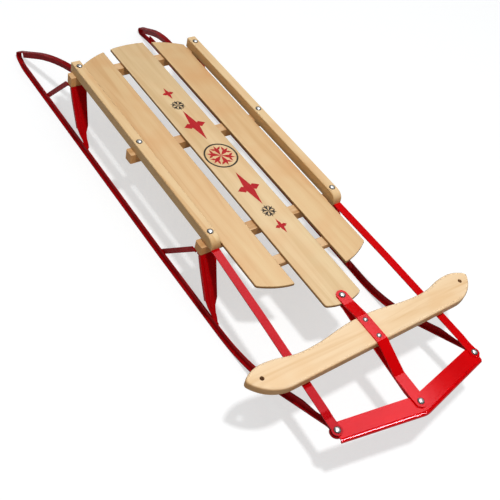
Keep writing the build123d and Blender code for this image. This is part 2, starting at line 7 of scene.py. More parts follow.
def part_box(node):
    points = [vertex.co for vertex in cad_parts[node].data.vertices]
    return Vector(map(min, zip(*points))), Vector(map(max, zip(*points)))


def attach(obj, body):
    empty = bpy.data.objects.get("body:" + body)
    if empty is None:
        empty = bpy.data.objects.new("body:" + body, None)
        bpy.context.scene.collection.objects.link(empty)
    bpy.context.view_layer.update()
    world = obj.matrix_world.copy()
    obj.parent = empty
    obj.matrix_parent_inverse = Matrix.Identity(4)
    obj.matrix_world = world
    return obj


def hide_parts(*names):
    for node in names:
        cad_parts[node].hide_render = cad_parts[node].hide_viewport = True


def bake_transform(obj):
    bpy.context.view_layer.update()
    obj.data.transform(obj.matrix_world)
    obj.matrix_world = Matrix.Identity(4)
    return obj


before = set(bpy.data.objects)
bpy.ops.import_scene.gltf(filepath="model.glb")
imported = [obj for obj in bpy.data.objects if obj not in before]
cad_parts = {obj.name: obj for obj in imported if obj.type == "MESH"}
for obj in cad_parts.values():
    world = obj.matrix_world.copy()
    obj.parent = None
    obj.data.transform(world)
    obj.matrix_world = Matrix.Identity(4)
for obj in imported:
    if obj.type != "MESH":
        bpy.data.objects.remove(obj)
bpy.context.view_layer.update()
mm = 0.001
scene = bpy.context.scene


# Small helpers

def linear(hexColour):
    # sRGB hex to the linear colour that the shaders take
    parts = [int(hexColour[i:i + 2], 16) / 255 for i in (1, 3, 5)]
    return tuple(p / 12.92 if p <= 0.04045 else ((p + 0.055) / 1.055) ** 2.4 for p in parts) + (1.0,)


def setInputs(tree, node, inputs):
    # each input gets a value, a socket, a node (its first output), or a list of sockets and nodes
    for key, value in inputs.items():
        for source in value if isinstance(value, list) else [value]:
            if isinstance(source, bpy.types.Node):
                source = source.outputs[0]
            if isinstance(source, bpy.types.NodeSocket):
                tree.links.new(source, node.inputs[key])
            else:
                node.inputs[key].default_value = source


def addNode(tree, kind, settings=None, inputs=None):
    # one node with its settings and inputs
    node = tree.nodes.new(kind)
    for name, value in (settings or {}).items():
        setattr(node, name, value)
    setInputs(tree, node, inputs or {})
    return node


def newMaterial(name):
    material = bpy.data.materials.new(name)
    material.use_nodes = True
    tree = material.node_tree
    return material, tree, tree.nodes["Principled BSDF"]


def patternInputs(wide, detail, rough=0.5, distortion=0.0):
    # a noise node's inputs, for a pattern about as wide as given in millimetres
    return {"Scale": 1 / (wide * mm), "Detail": detail, "Roughness": rough, "Distortion": distortion}


def rangeInputs(source, target):
    # a range node's inputs, which turn the source's two ends into the target's
    return {"From Min": source[0], "From Max": source[1], "To Min": target[0], "To Max": target[1]}


def setRamp(node, places, colours):
    elements = node.color_ramp.elements
    while len(elements) < len(places):
        elements.new(0.5)
    for element, place, colour in zip(elements, places, colours):
        element.position = place
        element.color = linear(colour)


# Wood: birch, planed and clear varnished. Straight pale grain runs along the piece, with faint warm
# clouds. The sides and eased edges are darker: partly darker side grain, partly painted shade on faces turned
# from the light above.

def makeWood(name, w):
    material, tree, shader = newMaterial(name)
    coords = addNode(tree, "ShaderNodeTexCoord").outputs
    along = addNode(tree, "ShaderNodeMapping", inputs={
        "Vector": coords["Object"], "Rotation": (0.0, 0.0, w["turn"]), "Location": w["shift"]})
    stretched = addNode(tree, "ShaderNodeMapping", inputs={
        "Vector": along, "Scale": (1.0, w["stretch"], 1.0)})
    fine = addNode(tree, "ShaderNodeTexNoise", inputs={"Vector": stretched, **w["grain"]})
    figure = addNode(tree, "ShaderNodeTexNoise", inputs={"Vector": stretched, **w["figure"]})
    clouds = addNode(tree, "ShaderNodeTexNoise", inputs={"Vector": along, **w["clouds"]})
    # a colour Mix node has its factor at 0, its colours at 6 and 7, and its result at 2
    colour = addNode(tree, "ShaderNodeValToRGB", inputs={"Fac": figure})
    setRamp(colour, w["figureRange"], (w["dark"], w["middle"], w["pale"]))
    warm = addNode(tree, "ShaderNodeMapRange", inputs={
        "Value": clouds, **rangeInputs(w["cloudRange"], (0.0, w["warmth"]))})
    colour = addNode(tree, "ShaderNodeMix", {"data_type": "RGBA"}, {
        0: warm, 6: colour, 7: linear(w["warm"])}).outputs[2]
    streak = addNode(tree, "ShaderNodeMapRange", inputs={
        "Value": fine, **rangeInputs(w["streakRange"], (0.0, w["streak"]))})
    colour = addNode(tree, "ShaderNodeMix", {"data_type": "RGBA"}, {
        0: streak, 6: colour, 7: linear(w["dark"])}).outputs[2]
    # painted shade, together with the darker side grain: faces that turn from upright blend toward the side
    # colour
    facing = addNode(tree, "ShaderNodeSeparateXYZ", inputs={"Vector": coords["Normal"]})
    level = addNode(tree, "ShaderNodeMath", {"operation": "ABSOLUTE"}, {0: facing.outputs["Z"]})
    side = addNode(tree, "ShaderNodeMapRange", {"interpolation_type": "SMOOTHSTEP"}, {
        "Value": level, **rangeInputs(w["sideGrainAndShadeRange"], (w["sideGrainAndShadeShare"], 0.0))})
    colour = addNode(tree, "ShaderNodeMix", {"data_type": "RGBA"}, {
        0: side, 6: colour, 7: linear(w["side"])}).outputs[2]
    rough = addNode(tree, "ShaderNodeMapRange", inputs={
        "Value": fine, "To Min": w["rough"] - w["smoother"], "To Max": w["rough"] + w["rougher"]})
    bump = addNode(tree, "ShaderNodeBump", inputs={"Height": fine, **w["bump"]})
    setInputs(tree, shader, {
        "Base Color": colour, "Roughness": rough, "Normal": bump, "Specular IOR Level": w["shine"],
        "Coat Weight": w["coat"], "Coat Roughness": w["coatRough"]})
    return material


# pattern widths in millimetres, as on rotary and plain sawn birch
slatWood = {
    "turn": 0.0, "shift": (0.3, 0.1, 0.0), "stretch": 0.06,
    "grain": patternInputs(2.4, 5.0, 0.62, 0.25), "figure": patternInputs(22.0, 3.0, 0.5, 0.9),
    "clouds": patternInputs(95.0, 2.0),
    "pale": "#E9C896", "middle": "#E5BF8C", "dark": "#DCB07C", "figureRange": (0.30, 0.50, 0.72),
    "warm": "#E2AE78", "warmth": 0.8, "cloudRange": (0.48, 0.74), "streak": 0.3, "streakRange": (0.56, 0.74),
    "side": "#8E6434", "sideGrainAndShadeShare": 0.9, "sideGrainAndShadeRange": (0.25, 0.97),
    "rough": 0.42, "smoother": 0.06, "rougher": 0.08, "bump": {"Strength": 0.12, "Distance": 0.2 * mm},
    "shine": 0.2, "coat": 0.03, "coatRough": 0.4}
centreWood = dict(slatWood, shift=(1.7, 0.6, 0.0), pale="#EDD1A2", middle="#E7C899", dark="#DCBA88",
                  warmth=0.45)
railWood = dict(slatWood, shift=(2.9, 0.4, 0.0), pale="#F0D2A2", middle="#EAC896", dark="#DDB27C", warmth=0.5,
                side="#B8905C", sideGrainAndShadeShare=0.85)
benchWood = dict(slatWood, turn=math.pi / 2, shift=(0.2, 1.3, 0.0), pale="#ECC698", middle="#E2B886",
                 dark="#BE8C54", warm="#C98F5A", side="#C0884E", sideGrainAndShadeShare=0.85, rough=0.5)
barWood = dict(slatWood, turn=math.pi / 2, shift=(0.9, 0.7, 0.0), pale="#FADDB5", middle="#F6D5A9",
               dark="#EAC391", warm="#F0C48E", warmth=0.6, streak=0.25, side="#B07C44", sideGrainAndShadeShare=0.8,
               figure=patternInputs(16.0, 3.0, 0.5, 0.9))


# Steel: strip and sheet, dipped in gloss enamel. A smooth coat over a slightly uneven colour,
# with a faint orange peel in the gloss.

def makeEnamel(name, e):
    material, tree, shader = newMaterial(name)
    coords = addNode(tree, "ShaderNodeTexCoord").outputs["Object"]
    patches = addNode(tree, "ShaderNodeTexNoise", inputs={"Vector": coords, **e["patches"]})
    colour = addNode(tree, "ShaderNodeValToRGB", inputs={"Fac": patches})
    setRamp(colour, e["patchRange"], (e["deep"], e["bright"]))
    peel = addNode(tree, "ShaderNodeTexNoise", inputs={"Vector": coords, **e["peel"]})
    bump = addNode(tree, "ShaderNodeBump", inputs={"Height": peel, **e["bump"]})
    setInputs(tree, shader, {
        "Base Color": colour, "Normal": bump, "Roughness": e["rough"], "Specular IOR Level": e["shine"],
        "Specular Tint": linear(e["gloss"]), "Coat Weight": e["coat"], "Coat Roughness": e["coatRough"]})
    return material


redEnamel = {
    "deep": "#CE0206", "bright": "#DC0408", "patches": patternInputs(60.0, 2.0), "patchRange": (0.30, 0.70),
    "peel": patternInputs(1.6, 1.0), "bump": {"Strength": 0.06, "Distance": 0.1 * mm},
    "rough": 0.12, "shine": 0.5, "gloss": "#FF6C7C", "coat": 0.03, "coatRough": 0.1}
# painted shade: a darker copy of the red enamel for the knees, which stand in the shade under the deck
kneeEnamelShaded = dict(redEnamel, deep="#9A0206", bright="#AE0408", rough=0.3, shine=0.2, gloss="#FF5A66",
                  coat=0.0)
# painted shade: a darker copy of the red enamel for the right strap, which catches less light than the left
strapEnamelShaded = dict(redEnamel, deep="#AA0206", bright="#BC040C", shine=0.38, gloss="#FF5A6C", coat=0.0)
runnerEnamel = dict(redEnamel, deep="#880408", bright="#A00A0E", rough=0.42, shine=0.15, gloss="#FF5A66",
                    coat=0.0)


# Fasteners: mild steel, barrel zinc plated. Bright and slightly cloudy.

def makeZinc(name, z):
    material, tree, shader = newMaterial(name)
    coords = addNode(tree, "ShaderNodeTexCoord").outputs["Object"]
    clouds = addNode(tree, "ShaderNodeTexNoise", inputs={"Vector": coords, **z["clouds"]})
    colour = addNode(tree, "ShaderNodeValToRGB", inputs={"Fac": clouds})
    setRamp(colour, z["cloudRange"], (z["dull"], z["bright"]))
    rough = addNode(tree, "ShaderNodeMapRange", inputs={
        "Value": clouds, "To Min": z["rough"] - z["smoother"], "To Max": z["rough"] + z["rougher"]})
    setInputs(tree, shader, {"Base Color": colour, "Roughness": rough, "Metallic": z["metal"]})
    return material


zincPlate = {
    "dull": "#C4C6C7", "bright": "#F2F3F4", "clouds": patternInputs(3.0, 3.0), "cloudRange": (0.35, 0.65),
    "rough": 0.38, "smoother": 0.08, "rougher": 0.1, "metal": 0.75}
# painted shade: rims and collars are dark, so that a shadowed ring shows round each bright dome
zincRimShaded = dict(zincPlate, dull="#3C3A38", bright="#5E5C5A", rough=0.5)


# Paint: screen printed ink on the varnish. Flat colour, thin enough to let the grain dull it a little.

def makeInk(name, i):
    material, tree, shader = newMaterial(name)
    coords = addNode(tree, "ShaderNodeTexCoord").outputs["Object"]
    stretched = addNode(tree, "ShaderNodeMapping", inputs={
        "Vector": coords, "Scale": (1.0, i["stretch"], 1.0)})
    wear = addNode(tree, "ShaderNodeTexNoise", inputs={"Vector": stretched, **i["wear"]})
    colour = addNode(tree, "ShaderNodeValToRGB", inputs={"Fac": wear})
    setRamp(colour, i["wearRange"], (i["colour"], i["thin"]))
    setInputs(tree, shader, {"Base Color": colour, "Roughness": i["rough"], "Specular IOR Level": i["shine"]})
    return material


redInk = {"colour": "#B80A18", "thin": "#C42428", "stretch": 0.1, "wear": patternInputs(2.4, 4.0),
          "wearRange": (0.40, 0.75), "rough": 0.5, "shine": 0.15}
darkInk = dict(redInk, colour="#2C2A26", thin="#57483A")

finishes = {
    "slat": makeWood("birchSlatsVarnished", slatWood),
    "centre": makeWood("birchCentreSlatVarnished", centreWood),
    "rail": makeWood("birchRailsVarnished", railWood),
    "bench": makeWood("birchBenchesVarnished", benchWood),
    "bar": makeWood("birchBarVarnished", barWood),
    "red": makeEnamel("steelSheetRedEnamel", redEnamel),
    "knee": makeEnamel("steelPressedRedEnamelShaded", kneeEnamelShaded),
    "strap": makeEnamel("steelStripRedEnamelShaded", strapEnamelShaded),
    "runner": makeEnamel("springSteelRedEnamel", runnerEnamel),
    "zinc": makeZinc("steelZincPlated", zincPlate),
    "zincRimShaded": makeZinc("steelZincPlatedRimShaded", zincRimShaded),
    "redInk": makeInk("inkRedPrinted", redInk),
    "darkInk": makeInk("inkDarkPrinted", darkInk),
}
print("materials made")


# Geometry node trees

def newTree(name, sockets):
    # a tree with Geometry in and out, and one named input for each size
    tree = bpy.data.node_groups.new(name, "GeometryNodeTree")
    tree.interface.new_socket(name="Geometry", in_out="INPUT", socket_type="NodeSocketGeometry")
    for socketName, kind in sockets.items():
        tree.interface.new_socket(name=socketName, in_out="INPUT", socket_type="NodeSocket" + kind)
    tree.interface.new_socket(name="Geometry", in_out="OUTPUT", socket_type="NodeSocketGeometry")
    given = tree.nodes.new("NodeGroupInput").outputs
    return tree, given


def endTree(tree, geometry, material=None):
    # instances made real, then given the material, unless their parts already have theirs
    ready = addNode(tree, "GeometryNodeRealizeInstances", inputs={"Geometry": geometry})
    if material is not None:
        ready = addNode(tree, "GeometryNodeSetMaterial", inputs={"Geometry": ready, "Material": material})
    addNode(tree, "NodeGroupOutput", inputs={"Geometry": ready})


multiply, add = {"operation": "MULTIPLY"}, {"operation": "ADD"}
subtract, divide = {"operation": "SUBTRACT"}, {"operation": "DIVIDE"}
cross, scale = {"operation": "CROSS_PRODUCT"}, {"operation": "SCALE"}
acrossSled, upright = (1.0, 0.0, 0.0), (0.0, 0.0, 1.0)


# A strip of steel or a line of ink: a profile that follows a path. Rise fades the profile's height
# along the path.

def makeStripTree():
    tree, given = newTree("stripAlongPath", {
        "Wide": "Float", "Low": "Float", "High": "Float", "Level": "Bool", "Material": "Material"})
    path = addNode(tree, "GeometryNodeMeshToCurve", inputs={"Mesh": given["Geometry"]})
    place = addNode(tree, "GeometryNodeInputPosition")
    tangent = addNode(tree, "GeometryNodeInputTangent")
    rise = addNode(tree, "GeometryNodeInputNamedAttribute", {"data_type": "FLOAT"}, {"Name": "rise"})
    # a runner's strip stays level across the sled, a flat line of ink stays level all along
    lean = addNode(tree, "ShaderNodeVectorMath", {"operation": "PROJECT"}, {0: acrossSled, 1: tangent})
    across = addNode(tree, "ShaderNodeVectorMath", subtract, {0: acrossSled, 1: lean})
    beside = addNode(tree, "ShaderNodeVectorMath", cross, {0: upright, 1: tangent})
    chosen = addNode(tree, "GeometryNodeSwitch", {"input_type": "VECTOR"}, {
        "Switch": given["Level"], "False": across, "True": beside})
    side = addNode(tree, "ShaderNodeVectorMath", {"operation": "NORMALIZE"}, {0: chosen})
    up = addNode(tree, "ShaderNodeVectorMath", cross, {0: tangent, 1: side})
    kept = path
    fields = {}
    for name, kind, value in (
            ("place", "FLOAT_VECTOR", place), ("side", "FLOAT_VECTOR", side),
            ("up", "FLOAT_VECTOR", up), ("height", "FLOAT", rise.outputs["Attribute"])):
        kept = addNode(tree, "GeometryNodeStoreNamedAttribute", {"data_type": kind, "domain": "POINT"}, {
            "Geometry": kept, "Name": name, "Value": value})
        stored = addNode(tree, "GeometryNodeInputNamedAttribute", {"data_type": kind}, {"Name": name})
        fields[name] = stored.outputs["Attribute"]
    tall = addNode(tree, "ShaderNodeMath", subtract, {0: given["High"], 1: given["Low"]})
    profile = addNode(tree, "GeometryNodeCurvePrimitiveQuadrilateral", {"mode": "RECTANGLE"}, {
        "Width": given["Wide"], "Height": tall})
    marked = addNode(
        tree, "GeometryNodeStoreNamedAttribute", {"data_type": "FLOAT_VECTOR", "domain": "POINT"},
        {"Geometry": profile, "Name": "section", "Value": place})
    swept = addNode(tree, "GeometryNodeCurveToMesh", inputs={
        "Curve": kept, "Profile Curve": marked, "Fill Caps": True})
    section = addNode(tree, "GeometryNodeInputNamedAttribute", {"data_type": "FLOAT_VECTOR"}, {
        "Name": "section"}).outputs["Attribute"]
    parts = addNode(tree, "ShaderNodeSeparateXYZ", inputs={"Vector": section}).outputs
    ends = addNode(tree, "ShaderNodeMath", add, {0: given["High"], 1: given["Low"]})
    middle = addNode(tree, "ShaderNodeMath", multiply, {0: ends, 1: 0.5})
    high = addNode(tree, "ShaderNodeMath", add, {0: parts["Y"], 1: middle})
    lifted = addNode(tree, "ShaderNodeMath", multiply, {0: high, 1: fields["height"]})
    sideways = addNode(tree, "ShaderNodeVectorMath", scale, {0: fields["side"], "Scale": parts["X"]})
    upwards = addNode(tree, "ShaderNodeVectorMath", scale, {0: fields["up"], "Scale": lifted})
    offset = addNode(tree, "ShaderNodeVectorMath", add, {0: sideways, 1: upwards})
    point = addNode(tree, "ShaderNodeVectorMath", add, {0: fields["place"], 1: offset})
    placed = addNode(tree, "GeometryNodeSetPosition", inputs={"Geometry": swept, "Position": point})
    endTree(tree, placed, given["Material"])
    return tree


# A bolt or rivet on each point: rim, dome, shank, and a nut or a flat rivet tail. The collar is a low
# step round the dome; rim and collar are dark with painted shade round the bright dome. Its sizes are shares
# of the dome's radius and the rim's height.

headShape = {"headSides": 32, "domeRings": 16, "shankSides": 20, "collarWider": 1.16, "collarTall": 0.5,
             "collarHigh": 1.2, "domeRise": 0.99}


def makeBoltTree():
    h = headShape
    tree, given = newTree("boltOnPoints", {
        "Rim Radius": "Float", "Rim Tall": "Float", "Dome Radius": "Float", "Dome Tall": "Float",
        "Shank Radius": "Float", "Grip": "Float", "Nut Radius": "Float", "Nut Tall": "Float",
        "Nut Sides": "Int", "Turn": "Vector", "Material": "Material", "Rim Shade Material": "Material"})

    def cylinder(radius, tall, middle, sides):
        body = addNode(tree, "GeometryNodeMeshCylinder", inputs={
            "Vertices": sides, "Radius": radius, "Depth": tall})
        lift = addNode(tree, "ShaderNodeCombineXYZ", inputs={"Z": middle})
        return addNode(tree, "GeometryNodeTransform", inputs={"Geometry": body, "Translation": lift})

    rimTall = given["Rim Tall"]
    rimMiddle = addNode(tree, "ShaderNodeMath", multiply, {0: rimTall, 1: 0.5})
    rim = cylinder(given["Rim Radius"], rimTall, rimMiddle, h["headSides"])
    collarRadius = addNode(tree, "ShaderNodeMath", multiply, {0: given["Dome Radius"], 1: h["collarWider"]})
    collarTall = addNode(tree, "ShaderNodeMath", multiply, {0: rimTall, 1: h["collarTall"]})
    collarMiddle = addNode(tree, "ShaderNodeMath", multiply, {0: rimTall, 1: h["collarHigh"]})
    collar = cylinder(collarRadius, collarTall, collarMiddle, h["headSides"])
    ball = addNode(tree, "GeometryNodeMeshUVSphere", inputs={
        "Segments": h["headSides"], "Rings": h["domeRings"], "Radius": 1.0})
    shape = addNode(tree, "ShaderNodeCombineXYZ", inputs={
        "X": given["Dome Radius"], "Y": given["Dome Radius"], "Z": given["Dome Tall"]})
    domeBase = addNode(tree, "ShaderNodeMath", multiply, {0: rimTall, 1: h["domeRise"]})
    rise = addNode(tree, "ShaderNodeCombineXYZ", inputs={"Z": domeBase})
    dome = addNode(tree, "GeometryNodeTransform", inputs={
        "Geometry": ball, "Scale": shape, "Translation": rise})
    shankMiddle = addNode(tree, "ShaderNodeMath", multiply, {0: given["Grip"], 1: -0.5})
    shank = cylinder(given["Shank Radius"], given["Grip"], shankMiddle, h["shankSides"])
    nutHalf = addNode(tree, "ShaderNodeMath", multiply, {0: given["Nut Tall"], 1: 0.5})
    nutDown = addNode(tree, "ShaderNodeMath", add, {0: given["Grip"], 1: nutHalf})
    nutMiddle = addNode(tree, "ShaderNodeMath", multiply, {0: nutDown, 1: -1.0})
    nut = cylinder(given["Nut Radius"], given["Nut Tall"], nutMiddle, given["Nut Sides"])
    painted = []
    for parts, material in (([dome, shank, nut], "Material"), ([rim, collar], "Rim Shade Material")):
        joined = addNode(tree, "GeometryNodeJoinGeometry", inputs={"Geometry": parts})
        painted.append(addNode(tree, "GeometryNodeSetMaterial", inputs={
            "Geometry": joined, "Material": given[material]}))
    whole = addNode(tree, "GeometryNodeJoinGeometry", inputs={"Geometry": painted})
    turn = addNode(tree, "FunctionNodeEulerToRotation", inputs={"Euler": given["Turn"]})
    onPoints = addNode(tree, "GeometryNodeInstanceOnPoints", inputs={
        "Points": given["Geometry"], "Instance": whole, "Rotation": turn})
    endTree(tree, onPoints)
    return tree


# A plank from its outline: filled, and given its thickness

def makePlankTree():
    tree, given = newTree("plankFromOutline", {"Base": "Float", "Thick": "Float", "Material": "Material"})
    outline = addNode(tree, "GeometryNodeMeshToCurve", inputs={"Mesh": given["Geometry"]})
    filled = addNode(tree, "GeometryNodeFillCurve", {"mode": "NGONS"}, {"Curve": outline})
    raised = addNode(tree, "GeometryNodeExtrudeMesh", {"mode": "FACES"}, {
        "Mesh": filled, "Offset": upright, "Offset Scale": given["Thick"]})
    under = addNode(tree, "GeometryNodeFlipFaces", inputs={"Mesh": filled})
    both = addNode(tree, "GeometryNodeJoinGeometry", inputs={"Geometry": [raised, under]})
    closed = addNode(tree, "GeometryNodeMergeByDistance", inputs={"Geometry": both, "Distance": 0.01 * mm})
    lift = addNode(tree, "ShaderNodeCombineXYZ", inputs={"Z": given["Base"]})
    placed = addNode(tree, "GeometryNodeTransform", inputs={"Geometry": closed, "Translation": lift})
    endTree(tree, placed, given["Material"])
    return tree


# A star of lozenges round a point, and smaller ones on each arm, for the printed snow crystals

twigShare = 0.8    # of the ink's thickness: a little lower, so that crossing faces don't coincide


def makeCrystalTree():
    tree, given = newTree("crystalOnPoints", {
        "Arms": "Int", "Inner": "Float", "Outer": "Float", "Wide": "Float", "Twig Place": "Float",
        "Twig Long": "Float", "Twig Wide": "Float", "Twig Turn": "Float", "Start": "Float", "Thick": "Float",
        "Material": "Material"})

    def lozenge(long, wide, tall):
        ring = addNode(tree, "GeometryNodeMeshCircle", {"fill_type": "NGON"}, {"Vertices": 4, "Radius": 0.5})
        size = addNode(tree, "ShaderNodeCombineXYZ", inputs={"X": long, "Y": wide, "Z": 1.0})
        flat = addNode(tree, "GeometryNodeTransform", inputs={"Geometry": ring, "Scale": size})
        return addNode(tree, "GeometryNodeExtrudeMesh", {"mode": "FACES"}, {
            "Mesh": flat, "Offset": upright, "Offset Scale": tall})

    def moved(geometry, x, turn):
        place = addNode(tree, "ShaderNodeCombineXYZ", inputs={"X": x})
        angle = addNode(tree, "ShaderNodeCombineXYZ", inputs={"Z": turn})
        spin = addNode(tree, "FunctionNodeEulerToRotation", inputs={"Euler": angle})
        return addNode(tree, "GeometryNodeTransform", inputs={
            "Geometry": geometry, "Translation": place, "Rotation": spin})

    armLong = addNode(tree, "ShaderNodeMath", subtract, {0: given["Outer"], 1: given["Inner"]})
    armEnds = addNode(tree, "ShaderNodeMath", add, {0: given["Outer"], 1: given["Inner"]})
    armMiddle = addNode(tree, "ShaderNodeMath", multiply, {0: armEnds, 1: 0.5})
    lozenges = [moved(lozenge(armLong, given["Wide"], given["Thick"]), armMiddle, 0.0)]
    twigTall = addNode(tree, "ShaderNodeMath", multiply, {0: given["Thick"], 1: twigShare})
    twigHalf = addNode(tree, "ShaderNodeMath", multiply, {0: given["Twig Long"], 1: 0.5})
    twig = moved(lozenge(given["Twig Long"], given["Twig Wide"], twigTall), twigHalf, 0.0)
    for sign in (1.0, -1.0):
        turn = addNode(tree, "ShaderNodeMath", multiply, {0: given["Twig Turn"], 1: sign})
        lozenges.append(moved(twig, given["Twig Place"], turn))
    arm = addNode(tree, "GeometryNodeJoinGeometry", inputs={"Geometry": lozenges})
    hub = addNode(tree, "GeometryNodePoints", inputs={"Count": given["Arms"], "Position": (0.0, 0.0, 0.0)})
    step = addNode(tree, "ShaderNodeMath", divide, {0: 2 * math.pi, 1: given["Arms"]})
    index = addNode(tree, "GeometryNodeInputIndex")
    turned = addNode(tree, "ShaderNodeMath", multiply, {0: index, 1: step})
    started = addNode(tree, "ShaderNodeMath", add, {0: turned, 1: given["Start"]})
    angle = addNode(tree, "ShaderNodeCombineXYZ", inputs={"Z": started})
    spin = addNode(tree, "FunctionNodeEulerToRotation", inputs={"Euler": angle})
    star = addNode(tree, "GeometryNodeInstanceOnPoints", inputs={
        "Points": hub, "Instance": arm, "Rotation": spin})
    onPoints = addNode(tree, "GeometryNodeInstanceOnPoints", inputs={
        "Points": given["Geometry"], "Instance": star})
    endTree(tree, onPoints, given["Material"])
    return tree


stripTree = makeStripTree()
boltTree = makeBoltTree()
plankTree = makePlankTree()
crystalTree = makeCrystalTree()
print("node trees made")


def linkObject(name, mesh):
    obj = bpy.data.objects.new(name, mesh)
    scene.collection.objects.link(obj)
    return obj


def pathMesh(name, points, rises=None, closed=False):
    # a line of points with edges between them, which the trees turn into a curve
    mesh = bpy.data.meshes.new(name)
    edges = [(i, i + 1) for i in range(len(points) - 1)] + ([(len(points) - 1, 0)] if closed else [])
    mesh.from_pydata(points, edges, [])
    rise = mesh.attributes.new("rise", "FLOAT", "POINT")
    rise.data.foreach_set("value", rises or [1.0] * len(points))
    return mesh


def grow(name, startMesh, tree, values):
    # runs a node tree on a start mesh and keeps the result as a plain mesh
    obj = linkObject(name, startMesh)
    modifier = obj.modifiers.new("grow", "NODES")
    modifier.node_group = tree
    for item in tree.interface.items_tree:
        if item.item_type == "SOCKET" and item.in_out == "INPUT" and item.name in values:
            modifier[item.identifier] = values[item.name]
    grown = bpy.data.meshes.new_from_object(obj.evaluated_get(bpy.context.evaluated_depsgraph_get()))
    obj.modifiers.clear()
    obj.data = grown
    for name in ("place", "side", "up", "height", "section", "rise"):
        if name in grown.attributes:
            grown.attributes.remove(grown.attributes[name])
    return obj


def joinAll(name, objects):
    # one plain mesh from several, with their materials in the order met
    joined = bmesh.new()
    materials = []
    for obj in objects:
        slots = []
        for material in obj.data.materials:
            if material not in materials:
                materials.append(material)
            slots.append(materials.index(material))
        before = len(joined.faces)
        joined.from_mesh(obj.data)
        joined.faces.ensure_lookup_table()
        for face in joined.faces[before:]:
            face.material_index = slots[face.material_index] if slots else 0
    mesh = bpy.data.meshes.new(name)
    joined.to_mesh(mesh)
    joined.free()
    for material in materials:
        mesh.materials.append(material)
    for obj in objects:
        bpy.data.objects.remove(obj)
    return linkObject(name, mesh)


def smoothByAngle(obj, degrees):
    # smooth shading, except where faces meet at more than the angle given
    mesh = obj.data
    mesh.polygons.foreach_set("use_smooth", [True] * len(mesh.polygons))
    mesh.set_sharp_from_angle(angle=math.radians(degrees))


roundedFrom = 40    # degrees between faces from which an edge is rounded


def finishEdges(obj, radius, segments):
    # rounds the sharp edges and applies the result to the mesh
    bevel = obj.modifiers.new("edges", "BEVEL")
    bevel.width = radius
    bevel.segments = segments
    bevel.limit_method = "ANGLE"
    bevel.angle_limit = math.radians(roundedFrom)
    bevel.harden_normals = False
    mesh = bpy.data.meshes.new_from_object(obj.evaluated_get(bpy.context.evaluated_depsgraph_get()))
    obj.modifiers.clear()
    obj.data = mesh


def arcPoints(centre, radius, start, end, count):
    # points on an arc in a plane, angles in radians
    steps = [start + (end - start) * i / (count - 1) for i in range(count)]
    return [(centre[0] + radius * math.cos(a), centre[1] + radius * math.sin(a)) for a in steps]


def circlePoints(centre, radius, count):
    return [(centre[0] + radius * math.cos(2 * math.pi * i / count),
             centre[1] + radius * math.sin(2 * math.pi * i / count)) for i in range(count)]


def straightPoints(start, end, steps):
    # the points between two ends, without the ends
    return [(start[0] + (end[0] - start[0]) * i / steps, start[1] + (end[1] - start[1]) * i / steps)
            for i in range(1, steps)]


def between(value, places, results):
    # straight-line reading of a table of places and results
    if value <= places[0]:
        return results[0]
    for low, high, a, b in zip(places, places[1:], results, results[1:]):
        if value <= high:
            return a + (b - a) * (value - low) / (high - low)
    return results[-1]


# Runners: one T section of spring steel each, from under the rear bench round the loop, along the snow
# and up to the bumper. Sizes in millimetres. The lists ending in Y and X are the runner's line seen from
# above. Steps are the points on each stretch, and edges stay sharp from sharpFrom degrees.

runnerSizes = {
    "flangeWide": 12.0, "flangeThick": 2.5, "ribThick": 2.5, "ribTall": 11.5,
    "loopTipY": 607.1, "loopBend": 8.7, "loopClimb": 29.4, "loopArch": 407.0, "armHigh": 103.75,
    "liftY": -278.0, "toeCurve": 321.0, "toeClimb": 28.5, "tabHigh": 102.5, "tabBend": 17.4,
    "tabX": 158.0, "tabY": -559.8, "tabOuter": 11.5, "tabHole": 5.8,
    "lineY": [-559.8, -268.0, -50.0, 560.0, 607.1], "lineX": [158.0, 165.0, 167.0, 167.0, 160.9],
    "armY": [359.5, 607.1], "armX": [116.0, 160.9],
    "groundRibEnd": 568.0, "armRibStartLong": 46.0, "armRibEnd": 372.0, "ribLow": 0.3,
    "fadeY": -489.0, "fadeLeft": 0.12, "fadeBeforeTab": 22.0, "ribBelowTab": 1.0,
    "bendStartY": -258.0, "bendEndY": -548.0,
    "archSteps": 40, "ringSteps": 25, "ringUpper": 13, "groundSteps": 60, "toeSteps": 40, "slopeSteps": 24,
    "tabSteps": 10, "holeSteps": 40, "sharpFrom": 32,
}


